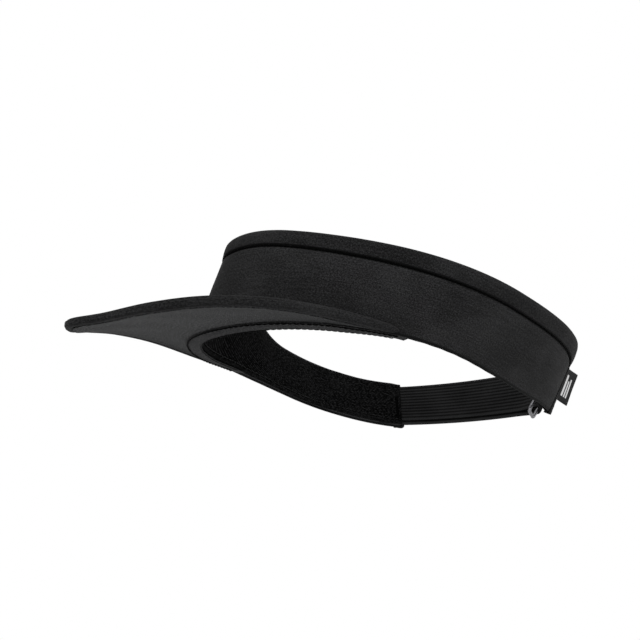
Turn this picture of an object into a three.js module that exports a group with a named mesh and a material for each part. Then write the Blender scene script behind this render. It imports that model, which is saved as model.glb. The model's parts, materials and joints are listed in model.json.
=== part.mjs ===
// Sun visor: a stiffened fabric crown band, an arched peak, a sweatband and a doubled elastic strap
// that is sewn to the right rear end and looped round a metal ring at the left. Millimetres, +Z up.
// Frame: origin at the centre of the head opening, +Y to the back of the head, the peak points to -Y,
// and the wearer's left side (the side of the end ring) is +X.
import * as THREE from "three";

const DEG = Math.PI / 180;

// ---------------------------------------------------------------- driving dimensions
// lower rim of the crown band: an oval, given by its half width and its front and rear half lengths
const RIM_HALF_WIDTH = 64.2;
const RIM_FRONT = 104.4;
const RIM_REAR = 121.8;
const RIM_POWER = 2.1; // 2 is an ellipse
const RIM_FRONT_DIP = -12.3; // the rim is lower at the forehead
const RIM_REAR_RISE = 14.9;
const BAND_END = 130.8 * DEG; // the band runs this far round from the forehead on each side
const BAND_STEPS = 48;
// how far the upper edge stands out from the lower one, and the band's height, every 10 degrees
const FLARE = [-4.5, -4.3, -3.4, -1.8, 0.8, 4.3, 8.3, 12.3, 15.9, 18.8, 20.9, 21.2, 18.9, 13.3, 8.2];
const HEIGHT = [48.7, 48.0, 46.2, 43.7, 41.1, 38.8, 37.0, 35.6, 34.6, 33.9, 33.3, 32.9, 32.6, 32.2, 31.7];
// soft unevenness: the right front corner is pressed in, the left end turns in and the right rear end droops
const PRESSED = 10.5;
const DROOP = 1.2;
const END_IN = 2.4;
const REAR_WIDEN = 0.04; // the lower rim opens a little towards its ends
// layers of the band, as offsets outwards from its middle surface
const SHELL = [0.0, 0.9];
const INTERLINING = [-1.0, -0.3];
const FOAM = [-2.7, -1.3];
const SWEATBAND_THICK = 1.0;
const BINDING_DEPTH = 7.0; // outer leg; the inner one only overlaps the sweatband's top edge
const BINDING_LIP = 2.3;
const END_CAP = 1.6; // how far the folded ends stand beyond the layers
// peak: outer edge of its underside, from the middle (0) to where it meets the band (1)
const PEAK_X = [0, 13.0, 24.4, 35.2, 45.1, 53.6, 60.1];
const PEAK_Y = [-168.0, -161.7, -149.4, -131.1, -106.9, -77.6, -43.4];
const PEAK_Z = [-35.4, -33.0, -26.4, -18.3, -11.1, -6.0, -1.3];
const PEAK_END = 66.0; // degrees round the rim where the peak runs out
const PEAK_DOME = 3.0;
const PEAK_HALF = 0.77; // the flat layers stop before the very points
const PEAK_TIP = 0.95; // the rolled edge runs on to here
const COVER = 0.7;
const BOARD = 1.8;
const GAP = 0.3;
const PEAK_EDGE_HIGH = 4.6;
const PEAK_EDGE_DEEP = 3.4;
// rear strap: lies on a cone about a vertical axis behind the forehead
const STRAP_CENTRE_Y = -195.0;
const STRAP_RADIUS = 280.0; // at STRAP_REF_Z
const STRAP_REF_Z = 7.0;
const STRAP_LEAN = 0.26;
const STRAP_TOP = 36.0;
const STRAP_INNER_LOW = 10.0;
const STRAP_OUTER_LOW = 7.4;
// the two layers lie close together, and part where they turn round the ring
const STRAP_INNER = [-1.05, -0.25];
const STRAP_OUTER = [0.1, 0.9];
const LOOP_INNER = [-2.7, -1.9];
const LOOP_OUTER = [0.8, 1.6];
const LOOP_PART = 16; // length over which they part
const STRAP_NEAR_X = 49.8; // at mid height
const STRAP_FAR_X = -53.6;
const STRAP_SLANT = 0.385; // the ends lean out like the ends of the band
const STRAP_MID_Z = 21.5;
// end ring: a wire rectangle with one upright in the strap's loop and one in the tab
const RING_WIRE = 1.8;
const RING_REACH = 11.3; // between its uprights
const RING_HIGH = 36.5;
const RING_DROP = 1.2;
const RING_TURN = 19.8 * DEG; // the ring lies between the direction of the band's end and the strap's pull
const LOOP_MID = -0.55;
// woven tag at the left rear end
const LABEL_OUT = 9.0;
const LABEL_HIGH = 18.5;
const LABEL_THICK = 0.8;
const TAG_TURN = -2.3 * DEG; // its direction, from straight back
const TAG_RISE = 0.05;
const TAG_UP = new THREE.Vector3(0.295, 0.055, 0.953); // a little more upright than the end of the band
const LABEL_AT = 0.545; // height of its middle, as a part of the band's height

// ---------------------------------------------------------------- helpers
const V = (x, y, z) => new THREE.Vector3(x, y, z);

// smooth curve through equally spaced values
function through(list, s) {
  const n = list.length - 1;
  const c = Math.min(Math.max(s, 0), n);
  const i = Math.min(Math.floor(c), n - 1);
  const f = c - i;
  const p1 = list[i];
  const p2 = list[i + 1];
  const p0 = i > 0 ? list[i - 1] : list[1] === undefined ? p1 : 2 * p1 - p2;
  const p3 = i + 2 <= n ? list[i + 2] : 2 * p2 - p1;
  return (
    0.5 *
    (2 * p1 + (p2 - p0) * f + (2 * p0 - 5 * p1 + 4 * p2 - p3) * f * f + (3 * p1 - p0 - 3 * p2 + p3) * f * f * f)
  );
}
// the same for a list that is mirrored about its first value
function throughEven(list, s) {
  const mirrored = [list[2], list[1], ...list];
  return through(mirrored, Math.abs(s) + 2);
}
const smooth = (a, b, v) => {
  const f = Math.min(Math.max((v - a) / (b - a), 0), 1);
  return f * f * (3 - 2 * f);
};

function rim(t) {
  const s = Math.sin(t);
  const c = Math.cos(t);
  const r = 1 / Math.pow(Math.pow(Math.abs(s), RIM_POWER) + Math.pow(Math.abs(c), RIM_POWER), 1 / RIM_POWER);
  return V(
    RIM_HALF_WIDTH * s * r * (1 + REAR_WIDEN * smooth(105 * DEG, 131 * DEG, Math.abs(t))),
    -(c > 0 ? RIM_FRONT : RIM_REAR) * c * r,
    RIM_FRONT_DIP * Math.max(c, 0) ** 2 + RIM_REAR_RISE * Math.max(-c, 0) ** 2,
  );
}
// outward direction of the rim, level
function level(t) {
  const e = 1e-3;
  const d = rim(t + e).sub(rim(t - e));
  return V(d.y, -d.x, 0).normalize();
}
const dentAt = (right) => smooth(-92, -67, right) * (1 - smooth(-36, -6, right));
// the band's middle surface: where it is, its outward normal, its upward direction and its height
function wall(t) {
  const deg = Math.abs(t) / DEG / 10;
  const base = rim(t);
  const n = level(t);
  const right = t / DEG;
  const flare = throughEven(FLARE, deg) - PRESSED * dentAt(right) - END_IN * smooth(104, 131, right);
  const height = throughEven(HEIGHT, deg) - DROOP * smooth(95, 131, -right);
  const rise = n.clone().multiplyScalar(flare).add(V(0, 0, height));
  const high = rise.length();
  const up = rise.clone().normalize();
  const e = 1e-3;
  const along = rim(t + e).sub(rim(t - e)).normalize();
  const out = along.clone().cross(up).normalize();
  if (out.dot(n) < 0) out.negate();
  return { base, up, out, high, along };
}
function wallPoint(t, high, off) {
  const w = wall(t);
  return w.base.clone().addScaledVector(w.up, high).addScaledVector(w.out, off);
}
const station = (i) => -BAND_END + (i * 2 * BAND_END) / BAND_STEPS;

function remap(geometry, fn) {
  const g = geometry.index ? geometry.toNonIndexed() : geometry;
  g.deleteAttribute("uv");
  const p = g.getAttribute("position");
  for (let i = 0; i < p.count; i++) {
    const q = fn(p.getX(i), p.getY(i), p.getZ(i));
    p.setXYZ(i, q.x, q.y, q.z);
  }
  g.computeVertexNormals();
  return g;
}
// a closed slab over a grid of nu by nv cells; both faces are split along the same diagonals, so that
// slabs stacked on each other keep their distance. place(u, v, w) must be right-handed.
function slab(nu, nv, place) {
  const pos = [];
  const at = (i, j, w) => {
    const q = place(i / nu, j / nv, w);
    return [q.x, q.y, q.z];
  };
  const grid = [0, 1].map((w) => {
    const g = [];
    for (let i = 0; i <= nu; i++) {
      g.push([]);
      for (let j = 0; j <= nv; j++) g[i].push(at(i, j, w));
    }
    return g;
  });
  const tri = (a, b, c) => pos.push(...a, ...b, ...c);
  const [lo, hi] = grid;
  for (let i = 0; i < nu; i++)
    for (let j = 0; j < nv; j++) {
      tri(hi[i][j], hi[i + 1][j], hi[i + 1][j + 1]);
      tri(hi[i][j], hi[i + 1][j + 1], hi[i][j + 1]);
      tri(lo[i][j], lo[i + 1][j + 1], lo[i + 1][j]);
      tri(lo[i][j], lo[i][j + 1], lo[i + 1][j + 1]);
    }
  for (let i = 0; i < nu; i++) {
    tri(lo[i][0], lo[i + 1][0], hi[i + 1][0]);
    tri(lo[i][0], hi[i + 1][0], hi[i][0]);
    tri(lo[i][nv], hi[i + 1][nv], lo[i + 1][nv]);
    tri(lo[i][nv], hi[i][nv], hi[i + 1][nv]);
  }
  for (let j = 0; j < nv; j++) {
    tri(lo[0][j], hi[0][j + 1], lo[0][j + 1]);
    tri(lo[0][j], hi[0][j], hi[0][j + 1]);
    tri(lo[nu][j], lo[nu][j + 1], hi[nu][j + 1]);
    tri(lo[nu][j], hi[nu][j + 1], hi[nu][j]);
  }
  const g = new THREE.BufferGeometry();
  g.setAttribute("position", new THREE.Float32BufferAttribute(pos, 3));
  g.computeVertexNormals();
  return g;
}
function outline(points, holes = []) {
  const shape = new THREE.Shape(points.map(([x, y]) => new THREE.Vector2(x, y)));
  for (const h of holes) shape.holes.push(new THREE.Path(h.map(([x, y]) => new THREE.Vector2(x, y))));
  return shape;
}
// a section (offset outwards, height) swept along the band from station i0 to station i1
function alongBand(points, i0, i1, place) {
  const steps = Math.max(1, Math.round(i1 - i0));
  const g = new THREE.ExtrudeGeometry(outline(points), { depth: 1, steps, bevelEnabled: false });
  return remap(g, (x, y, z) => place(station(i1 - (i1 - i0) * z), x, y));
}
const rect = (x0, x1, y0, y1) => [
  [x0, y0],
  [x1, y0],
  [x1, y1],
  [x0, y1],
];
const span = (low, top) => (t, off, a) => {
  const w = wall(t);
  return wallPoint(t, low + a * (w.high - low - top), off);
};
// a layer of the band between stations i0 and i1; (round the band, up, out) is right-handed
function layer(offs, i0, i1, rows, place) {
  const o = (t, w) => (typeof offs === "function" ? offs(t)[w] : offs[w]);
  return slab(Math.max(1, Math.round(i1 - i0)), rows, (u, v, w) => {
    const t = station(i0 + (i1 - i0) * u);
    return place(t, o(t, w), v);
  });
}
const fromTop = (t, off, a) => wallPoint(t, wall(t).high + a, off);
const fromBottom = (t, off, a) => wallPoint(t, a, off);

const group = new THREE.Group();
function add(name, geometry, color, roughness, metalness = 0) {
  const mesh = new THREE.Mesh(geometry, new THREE.MeshStandardMaterial({ color, roughness, metalness }));
  mesh.name = name;
  group.add(mesh);
  return mesh;
}
const TWILL = 0x232325;
const CHARCOAL = 0x3e4043;
const KNIT = 0x121214;
const ELASTIC = 0x18181a;
const THREAD = 0x1a1a1c;
const STEEL = 0xa9abae;

// ---------------------------------------------------------------- crown band
const N = BAND_STEPS;
add("crown_shell", layer(SHELL, 0, N, 4, span(0.3, 0.6)), TWILL, 0.85);
add("crown_interlining", layer(INTERLINING, 0, N, 4, span(1.5, 1.5)), 0x1b1b1d, 0.9);
add("forehead_foam", layer(FOAM, N / 2 - 10, N / 2 + 10, 3, span(10, 11)), 0x55565a, 0.95);

// the sweatband stands further in over the forehead foam and over the strap's sewn end
function sweatbandOffset(t) {
  const d = t / DEG;
  return -1.35 - 1.8 * (1 - smooth(58, 70, Math.abs(d))) - 1.55 * smooth(100, 112, -d);
}
const hemLift = (t) => 0.3 + 1.1 * dentAt(t / DEG);
add(
  "sweatband",
  layer((t) => [sweatbandOffset(t) - SWEATBAND_THICK, sweatbandOffset(t)], 0, N, 4, (t, off, a) => span(2.7 + hemLift(t), 2.8)(t, off, a)),
  KNIT,
  0.95,
);
add(
  "sweatband_hem",
  alongBand(rect(-SWEATBAND_THICK - 0.3, 0.0, 0.7, 2.3), 0, N, (t, x, a) => fromBottom(t, x + sweatbandOffset(t), a + hemLift(t))),
  0x2a2a2c,
  0.9,
);
add(
  "top_binding",
  alongBand(
    [
      [1.3, -BINDING_DEPTH],
      [1.75, -BINDING_DEPTH],
      [1.85, 0.1],
      [1.25, 0.65],
      [-1.35, 0.65],
      [-1.95, 0.1],
      [-1.95, -BINDING_LIP],
      [-1.4, -BINDING_LIP],
      [-1.4, -0.1],
      [1.3, -0.1],
    ],
    0,
    N,
    fromTop,
  ),
  TWILL,
  0.85,
);
add(
  "binding_topstitch",
  alongBand(rect(1.3, 1.7, -BINDING_DEPTH - 1.2, -BINDING_DEPTH - 0.4), 0, N, fromTop),
  THREAD,
  0.8,
);

// folded ends of the shell: an outer leg and a cap over the end of the layers
function endFold(side) {
  const t = side * BAND_END;
  const tau = (h) => {
    const e = 1e-3;
    return wallPoint(t + side * e, h, 0).sub(wallPoint(t - side * e, h, 0)).normalize();
  };
  const high = wall(t).high;
  const g = new THREE.ExtrudeGeometry(
    outline([
      [1.3, -4.0],
      [1.8, -4.0],
      [1.8, END_CAP],
      [-1.1, END_CAP],
      [-1.1, END_CAP - 0.6],
      [1.3, END_CAP - 0.6],
    ]),
    { depth: 1, steps: 6, bevelEnabled: false },
  );
  // (offset, along, up) is left-handed on one side, so the height runs the other way there
  return remap(g, (x, y, z) => {
    const a = side > 0 ? z : 1 - z;
    const h = 0.6 + a * (high - 0.6 - 8.8);
    if (y < 0) {
      // the leg follows the band
      const w = rim(t).distanceTo(rim(t - side * 0.01)) / 0.01;
      return wallPoint(t + (side * y) / w, h, x);
    }
    return wallPoint(t, h, x).addScaledVector(tau(h), y);
  });
}
add("rear_end_fold_left", endFold(1), TWILL, 0.85);
add("rear_end_fold_right", endFold(-1), TWILL, 0.85);

// ---------------------------------------------------------------- peak
function peakEdge(u) {
  const s = Math.abs(u) * 6;
  const xs = [-PEAK_X[2], -PEAK_X[1], ...PEAK_X];
  return V(
    Math.sign(u || 1) * through(xs, s + 2),
    throughEven(PEAK_Y, s),
    throughEven(PEAK_Z, s),
  );
}
function peakOut(u) {
  const e = 1e-3;
  const d = peakEdge(Math.min(u + e, 1)).sub(peakEdge(Math.max(u - e, -1)));
  const m = V(d.y, -d.x, 0).normalize();
  return m;
}
// underside of the peak: v = 0 beside the band, v = 1 at the inner side of the rolled edge
function peakPoint(u, v, lift, inset = PEAK_EDGE_DEEP + 0.8) {
  const t = u * PEAK_END * DEG;
  // clear of the shell, which leans outwards above the rim at the sides
  const a = rim(t).addScaledVector(level(t), SHELL[1] + 0.5 + 0.22 * Math.max(lift, 0));
  const b = peakEdge(u).addScaledVector(peakOut(u), -inset);
  const p = a.clone().lerp(b, v);
  p.z += PEAK_DOME * 4 * v * (1 - v) * Math.max(0, 1 - (u / PEAK_HALF) ** 2) + lift;
  return p;
}
const PEAK_STEPS = 28;
function peakSheet(low, high, nv = 4) {
  return slab(nv, PEAK_STEPS, (v, u, w) => peakPoint(PEAK_HALF * (2 * u - 1), v, w ? high : low));
}
add("peak_under_cover", peakSheet(0.2, 0.2 + COVER), CHARCOAL, 0.9);
add("peak_board", peakSheet(0.2 + COVER + GAP, 0.2 + COVER + GAP + BOARD), 0x2c2d30, 0.5);
add(
  "peak_top_cover",
  peakSheet(0.2 + COVER + 2 * GAP + BOARD, 0.2 + 2 * COVER + 2 * GAP + BOARD),
  TWILL,
  0.85,
);
// rolled edge where the covers meet; it thins and moves out as it comes alongside the band
{
  const pts = [];
  for (let i = 0; i < 10; i++) {
    const a = (i * 2 * Math.PI) / 10;
    const c = Math.cos(a);
    const s = Math.sin(a);
    pts.push([
      0.5 + 0.5 * Math.sign(c) * Math.pow(Math.abs(c), 0.7),
      0.5 + 0.5 * Math.sign(s) * Math.pow(Math.abs(s), 0.7),
    ]);
  }
  const g = new THREE.ExtrudeGeometry(outline(pts), { depth: 1, steps: 48, bevelEnabled: false });
  add(
    "peak_edge_binding",
    remap(g, (x, y, z) => {
      const u = PEAK_TIP * (1 - 2 * z);
      const near = Math.max(0, Math.abs(u) - 0.865) * 46;
      const inner = -PEAK_EDGE_DEEP + near;
      const outer = Math.max(0, inner + 1.3);
      const high = PEAK_EDGE_HIGH - 2.2 * smooth(0.8, PEAK_TIP, Math.abs(u));
      return peakEdge(u).addScaledVector(peakOut(u), inner + (outer - inner) * x).add(V(0, 0, y * high));
    }),
    TWILL,
    0.85,
  );
}
// two rows of stitching round the top of the peak
function stitchRow(v, steps) {
  const low = 0.2 + 2 * COVER + 3 * GAP + BOARD;
  const g = new THREE.BoxGeometry(1, 1, 1, 1, 1, 2 * steps);
  return remap(g, (x, y, z) => {
    const u = (-PEAK_HALF * 4 * steps * z) / PEAK_STEPS;
    const a = peakPoint(u, v, y > 0 ? low + 0.4 : low);
    const out = peakPoint(u, 1, 0).sub(peakPoint(u, 0, 0)).setZ(0).normalize();
    return a.addScaledVector(out, x * 0.8);
  });
}
add("peak_stitch_row_outer", stitchRow(0.92, 13), THREAD, 0.8);
add("peak_stitch_row_inner", stitchRow(0.8, 11), THREAD, 0.8);
// seam tape under the joint of peak and band, and the seam allowance inside the band
const F0 = N / 2 - 12;
const F1 = N / 2 + 12;
add(
  "peak_seam_tape",
  slab(F1 - F0, 1, (u, v, w) => {
    // (back along the rim, outwards, up) is right-handed; it narrows to the band's own width at its ends
    const t = station(F1 - (F1 - F0) * u);
    const x = -4.6 + v * (6.8 - 2.6 * smooth(35 * DEG, 60 * DEG, Math.abs(t)));
    const p = rim(t).addScaledVector(level(t), x);
    p.z += w * 0.7 - 0.8;
    return p;
  }),
  CHARCOAL,
  0.9,
);
add("peak_seam_allowance", layer([-2.3, -1.35], F0 + 2, F1 - 2, 1, (t, x, v) => fromBottom(t, x, 1.9 + 6.7 * v)), CHARCOAL, 0.9);

// ---------------------------------------------------------------- rear strap
function strapRadius(z) {
  return STRAP_RADIUS + STRAP_LEAN * (z - STRAP_REF_Z);
}
const CONE = Math.atan(STRAP_LEAN);
// a point of the strap: sideways x, height z, offset off the middle surface
function strapPoint(x, z, off) {
  const r = strapRadius(z);
  const phi = Math.asin(x / r);
  const n = V(Math.sin(phi) * Math.cos(CONE), Math.cos(phi) * Math.cos(CONE), -Math.sin(CONE));
  return V(r * Math.sin(phi), STRAP_CENTRE_Y + r * Math.cos(phi), z).addScaledVector(n, off);
}
const nearX = (z) => STRAP_NEAR_X + STRAP_SLANT * (z - STRAP_MID_Z);
const farX = (z) => STRAP_FAR_X - STRAP_SLANT * (z - STRAP_MID_Z);
function strapLayer(rest, loop, low, top, x0, x1, steps = 24) {
  const g = new THREE.BoxGeometry(1, 1, 1, steps, 1, 1);
  // box x along the strap (towards +X), box y out, box z up; finer beside the ring
  return remap(g, (x, y, z) => {
    const h = z > 0 ? top : low;
    const a = 0.5 - x;
    const f = a * (0.55 + 0.45 * a);
    const px = x1(h) + (x0(h) - x1(h)) * f;
    const part = 1 - smooth(0, LOOP_PART, px < x1(h) ? x1(h) - px : 0);
    const i = y > 0 ? 1 : 0;
    return strapPoint(px, h, rest[i] + (loop[i] - rest[i]) * part);
  });
}
const LOOP_CLEAR = 1.5;
add(
  "strap_inner_layer",
  strapLayer(STRAP_INNER, LOOP_INNER, STRAP_INNER_LOW, STRAP_TOP, (z) => farX(z) + 0.2, (z) => nearX(z) - LOOP_CLEAR),
  ELASTIC,
  0.95,
);
add(
  "strap_outer_layer",
  strapLayer(STRAP_OUTER, LOOP_OUTER, STRAP_OUTER_LOW, STRAP_TOP, (z) => farX(z) + 0.2, (z) => nearX(z) - LOOP_CLEAR),
  ELASTIC,
  0.95,
);

// end ring: uprights parallel to the band's end
const ringUp = strapPoint(nearX(36), 36, 0).sub(strapPoint(nearX(8), 8, 0)).normalize();
const wallEnd = wall(BAND_END);
const endMid = wallPoint(BAND_END, wallEnd.high / 2, 0);
const endAlong = V(-Math.sin(RING_TURN), Math.cos(RING_TURN), 0);
endAlong.addScaledVector(ringUp, -endAlong.dot(ringUp)).normalize(); // towards the strap
const ringOut = endAlong.clone().cross(ringUp).normalize();
if (ringOut.x < 0) ringOut.negate();
const barStrap = strapPoint(nearX(STRAP_MID_Z), STRAP_MID_Z, LOOP_MID);
const barTab = barStrap.clone().addScaledVector(endAlong, -RING_REACH);
{
  const R = 10;
  const g = new THREE.TorusGeometry(R, RING_WIRE / 2, 8, 40);
  const ringMid = barStrap.clone().add(barTab).multiplyScalar(0.5).addScaledVector(ringUp, -RING_DROP);
  const a = RING_REACH / 2;
  const b = RING_HIGH / 2;
  const corner = 1.8;
  // rounded rectangle by angle, and its outward direction in the ring's plane
  const ringPath = new THREE.Path();
  ringPath.moveTo(a, 0);
  ringPath.lineTo(a, b - corner);
  ringPath.absarc(a - corner, b - corner, corner, 0, Math.PI / 2, false);
  ringPath.lineTo(-a + corner, b);
  ringPath.absarc(-a + corner, b - corner, corner, Math.PI / 2, Math.PI, false);
  ringPath.lineTo(-a, -b + corner);
  ringPath.absarc(-a + corner, -b + corner, corner, Math.PI, 1.5 * Math.PI, false);
  ringPath.lineTo(a - corner, -b);
  ringPath.absarc(a - corner, -b + corner, corner, 1.5 * Math.PI, 2 * Math.PI, false);
  ringPath.lineTo(a, 0);
  // stations: dense on the corners, few on the straights
  const centre = [];
  const normal = [];
  const push = (x, y, nx, ny) => {
    centre.push([x, y]);
    normal.push([nx, ny]);
  };
  const arc = (cx, cy, a0) => {
    for (let i = 0; i <= 5; i++) {
      const q = a0 + (i * Math.PI) / 10;
      push(cx + corner * Math.cos(q), cy + corner * Math.sin(q), Math.cos(q), Math.sin(q));
    }
  };
  arc(a - corner, b - corner, 0);
  push(0, b, 0, 1);
  arc(-a + corner, b - corner, Math.PI / 2);
  push(-a, b / 3, -1, 0);
  push(-a, 0, -1, 0);
  push(-a, -b / 3, -1, 0);
  arc(-a + corner, -b + corner, Math.PI);
  push(0, -b, 0, -1);
  arc(a - corner, -b + corner, 1.5 * Math.PI);
  push(a, -b / 3, 1, 0);
  push(a, 0, 1, 0);
  push(a, b / 3, 1, 0);
  const count = centre.length;
  const gg = new THREE.TorusGeometry(R, RING_WIRE / 2, 8, count);
  g.dispose();
  add(
    "end_ring",
    remap(gg, (x, y, z) => {
      const ang = (Math.atan2(y, x) + 2 * Math.PI) % (2 * Math.PI);
      const i = Math.round((ang / (2 * Math.PI)) * count) % count;
      const rho = Math.hypot(x, y) - R;
      const px = centre[i][0] + normal[i][0] * rho;
      const py = centre[i][1] + normal[i][1] * rho;
      // plane axes: towards the strap, up; third axis completes a right-handed set
      const third = endAlong.clone().cross(ringUp).normalize();
      return ringMid
        .clone()
        .addScaledVector(endAlong, px)
        .addScaledVector(ringUp, py)
        .addScaledVector(third, z);
    }),
    STEEL,
    0.3,
    1,
  );
}
// the strap's turn round the ring: half a sleeve, open towards the strap
{
  const r0 = 1.35;
  const r1 = 2.15;
  const pts = [];
  for (let i = 0; i <= 8; i++) {
    const q = -Math.PI / 2 + (i * Math.PI) / 8;
    pts.push([0.1 + r1 * Math.cos(q), r1 * Math.sin(q)]);
  }
  for (let i = 8; i >= 0; i--) {
    const q = -Math.PI / 2 + (i * Math.PI) / 8;
    pts.push([0.1 + r0 * Math.cos(q), r0 * Math.sin(q)]);
  }
  const g = new THREE.ExtrudeGeometry(outline(pts), { depth: 1, steps: 1, bevelEnabled: false });
  add(
    "strap_ring_loop",
    remap(g, (x, y, z) => {
      // x along the strap away from it, y outwards, z up
      const h = z > 0.5 ? STRAP_TOP - 1.0 : STRAP_OUTER_LOW + 0.6;
      const c = strapPoint(nearX(h), h, 0);
      const n = strapPoint(nearX(h), h, 1).sub(c);
      const along = strapPoint(nearX(h) + 1, h, 0).sub(c).normalize();
      return c.addScaledVector(along, x).addScaledVector(n, LOOP_MID + y);
    }),
    ELASTIC,
    0.95,
  );
}
// tab that holds the ring on the inner face of the band: a sleeve with a sewn tail
{
  const r0 = 1.35;
  const r1 = 2.1;
  const hole = [];
  for (let i = 0; i < 12; i++) {
    const q = (-i * 2 * Math.PI) / 12;
    hole.push([r0 * Math.cos(q), r0 * Math.sin(q)]);
  }
  // section axes: x along the band towards the strap, y outwards
  const pts = [];
  for (let i = 0; i <= 12; i++) {
    const q = -Math.PI * 0.72 + (i * (Math.PI * 1.22)) / 12;
    pts.push([r1 * Math.cos(q), r1 * Math.sin(q)]);
  }
  const tail = [-5, -8, -11, -14];
  for (const x of tail) pts.push([x, r1]);
  for (const x of [...tail].reverse()) pts.push([x, r1 - 1.4]);
  pts.push([-2.7, r1 - 1.4]);
  const g = new THREE.ExtrudeGeometry(outline(pts, [hole]), { depth: 1, steps: 4, bevelEnabled: false });
  const high = 24;
  // how far the sleeve stands from the end of the band, and the tail's place on the sweatband
  const speed = wallPoint(BAND_END, wallEnd.high / 2, 0).distanceTo(wallPoint(BAND_END - 0.1, wallEnd.high / 2, 0)) / 0.1;
  const back = barTab.clone().sub(endMid).dot(endAlong);
  const onTab = (x, y, h) => {
    const straight = barTab
      .clone()
      .addScaledVector(endAlong, x)
      .addScaledVector(ringOut, y)
      .addScaledVector(ringUp, h);
    if (x > -3) return straight;
    const t = BAND_END + (back + x) / speed;
    const w = wall(t);
    return wallPoint(t, w.high * 0.5 + h - 0.8, -2.75 + (y - r1));
  };
  add(
    "ring_tab",
    remap(g, (x, y, z) => onTab(x, y, high * (0.5 - z))),
    TWILL,
    0.9,
  );
  const bt = new THREE.BoxGeometry(8, 0.45, 19, 3, 1, 4);
  add(
    "tab_bartack",
    // (along, out, up) is left-handed, so the height is reversed
    remap(bt, (x, y, z) => onTab(x - 9, r1 - 1.4 - 0.6 + y, -z)),
    THREAD,
    0.8,
  );
}

// the strap's sewn end inside the right rear end of the band, and its bar tack on the sweatband
add(
  "strap_anchor_patch",
  layer([-2.4, -1.35], 0.05, 2, 3, span(3, 10.2)),
  ELASTIC,
  0.95,
);
add(
  "anchor_bartack",
  alongBand(rect(-4.7, -4.3, 0, 1), 0.3, 0.55, span(5, 13)),
  THREAD,
  0.8,
);

// ---------------------------------------------------------------- woven tag
{
  const g = new THREE.BoxGeometry(LABEL_THICK, LABEL_OUT, LABEL_HIGH);
  const tagUp = TAG_UP.clone().normalize();
  const tagAlong = V(-Math.sin(TAG_TURN), Math.cos(TAG_TURN), TAG_RISE);
  tagAlong.addScaledVector(tagUp, -tagAlong.dot(tagUp)).normalize();
  const tagOut = tagAlong.clone().cross(tagUp).normalize();
  const root = wallPoint(BAND_END, wallEnd.high * LABEL_AT, 0.9).addScaledVector(endAlong, END_CAP + 0.9);
  add(
    "woven_tag",
    // (out, along, up) is right-handed
    remap(g, (x, y, z) =>
      root
        .clone()
        .addScaledVector(tagOut, x)
        .addScaledVector(tagAlong, y + LABEL_OUT / 2)
        .addScaledVector(tagUp, z),
    ),
    0x101012,
    0.8,
  );
  group.userData.tag = { root: root.toArray(), up: tagUp.toArray(), along: tagAlong.toArray() };
}
// axes used by the joints
group.userData.ring = { barTab: barTab.toArray(), barStrap: barStrap.toArray(), up: ringUp.toArray(), along: endAlong.toArray(), out: ringOut.toArray() };

export default group;
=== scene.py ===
import json
import math

import bpy
import numpy as np
from mathutils import Matrix, Vector


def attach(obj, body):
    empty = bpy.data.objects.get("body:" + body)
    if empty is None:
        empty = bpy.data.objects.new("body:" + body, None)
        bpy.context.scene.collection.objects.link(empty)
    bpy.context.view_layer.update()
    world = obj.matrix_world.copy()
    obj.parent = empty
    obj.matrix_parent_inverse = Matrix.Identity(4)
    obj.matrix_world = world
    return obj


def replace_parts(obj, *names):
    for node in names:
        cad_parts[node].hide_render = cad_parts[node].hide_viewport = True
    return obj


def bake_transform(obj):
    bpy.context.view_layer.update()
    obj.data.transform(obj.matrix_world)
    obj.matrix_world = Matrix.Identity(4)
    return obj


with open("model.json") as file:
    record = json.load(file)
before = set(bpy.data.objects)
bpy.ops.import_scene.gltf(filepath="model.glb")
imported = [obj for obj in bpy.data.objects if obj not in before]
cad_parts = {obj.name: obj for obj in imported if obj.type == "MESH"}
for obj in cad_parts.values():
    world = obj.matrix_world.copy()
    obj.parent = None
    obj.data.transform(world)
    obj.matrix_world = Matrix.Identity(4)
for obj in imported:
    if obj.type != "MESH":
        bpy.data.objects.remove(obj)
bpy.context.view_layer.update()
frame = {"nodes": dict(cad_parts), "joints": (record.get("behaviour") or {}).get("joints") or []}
MM = 0.001
D = math.pi / 180
RNG = np.random.default_rng(7)

# ------------------------------------------------------------------ the driving shape, in mm
# The same numbers as the frame's solids are made from.
RIM_W, RIM_F, RIM_R, RIM_P = 64.2, 104.4, 121.8, 2.1
DIP, RISE = -12.3, 14.9
T_END = 130.8 * D
FLARE = [-4.5, -4.3, -3.4, -1.8, 0.8, 4.3, 8.3, 12.3, 15.9, 18.8, 20.9, 21.2, 18.9, 13.3, 8.2]
HEIGHT = [48.7, 48.0, 46.2, 43.7, 41.1, 38.8, 37.0, 35.6, 34.6, 33.9, 33.3, 32.9, 32.6, 32.2, 31.7]
PRESSED, DROOP, REAR_WIDEN, END_IN = 10.5, 1.2, 0.04, 2.4
BIND = 7.0
PEAK_X = [0, 13.0, 24.4, 35.2, 45.1, 53.6, 60.1]
PEAK_Y = [-168.0, -161.7, -149.4, -131.1, -106.9, -77.6, -43.4]
PEAK_Z = [-35.4, -33.0, -26.4, -18.3, -11.1, -6.0, -1.3]
PEAK_END = 66.0
DOME = 3.0
PEAK_HALF = 0.77
CONE_Y, CONE_R, CONE_Z, LEAN = -195.0, 280.0, 7.0, 0.26
STRAP_TOP, IN_LOW, OUT_LOW = 35.7, 10.0, 7.4
NEAR_X, FAR_X, SLANT, MID_Z = 49.8, -53.6, 0.385, 21.5
LOOP_MID = -0.55


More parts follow.
